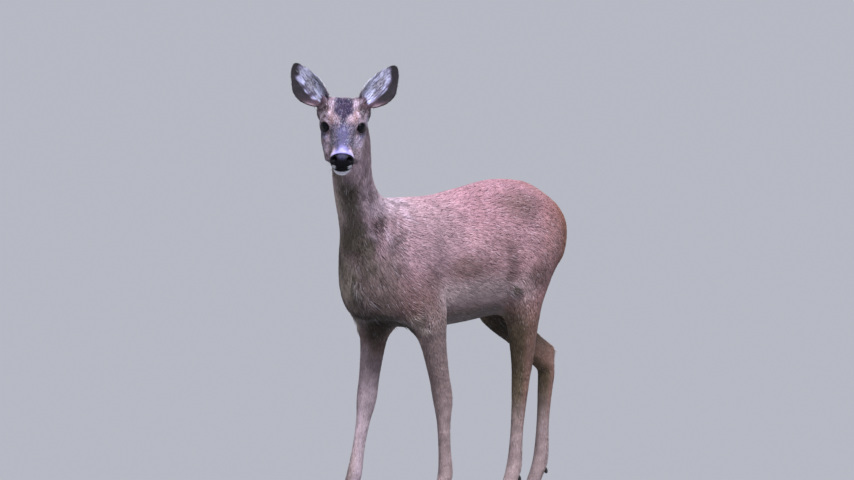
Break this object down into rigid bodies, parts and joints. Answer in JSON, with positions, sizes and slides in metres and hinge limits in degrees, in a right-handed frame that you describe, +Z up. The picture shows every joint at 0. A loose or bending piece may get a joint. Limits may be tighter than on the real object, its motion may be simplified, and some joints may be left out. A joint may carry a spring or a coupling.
{
  "type": "roe deer",
  "caption": "Life-size roe deer doe in summer coat, standing in mid-step on all four feet with her head turned to her left; a still figure.",
  "frame": {"origin": "middle of the bounding box in X and Y, on the ground plane under the claws", "axes": "+X to the deer's left, -Y the way its trunk faces, +Z up"},
  "size_m": [0.3366, 1.0014, 1.0098],
  "materials": {
    "coat": "short dense reddish-brown summer hair",
    "coat_grey": "short grey-brown leg hair",
    "cream": "pale rump and tail hair",
    "horn": "dark claw horn",
    "nose_pad": "bare black moist nose skin",
    "eye": "wet dark brown"
  },
  "bodies": {
    "root": {"claw_fore_left_inner": "horn", "claw_fore_left_outer": "horn", "claw_fore_right_inner": "horn", "claw_fore_right_outer": "horn", "claw_hind_left_inner": "horn", "claw_hind_left_outer": "horn", "claw_hind_right_inner": "horn", "claw_hind_right_outer": "horn", "dewclaw_fore_left_inner": "horn", "dewclaw_fore_left_outer": "horn", "dewclaw_fore_right_inner": "horn", "dewclaw_fore_right_outer": "horn", "dewclaw_hind_left_inner": "horn", "dewclaw_hind_left_outer": "horn", "dewclaw_hind_right_inner": "horn", "dewclaw_hind_right_outer": "horn", "ear_left": "coat", "ear_right": "coat", "eye_left": "eye", "eye_right": "eye", "forecannon_left": "coat_grey", "forecannon_right": "coat_grey", "foreleg_left": "coat", "foreleg_right": "coat", "head": "coat", "hindcannon_left": "coat_grey", "hindcannon_right": "coat_grey", "hindleg_left": "coat", "hindleg_right": "coat", "neck": "coat", "nose": "nose_pad", "tail": "cream", "trunk": "coat"}
  },
  "joints": []
}
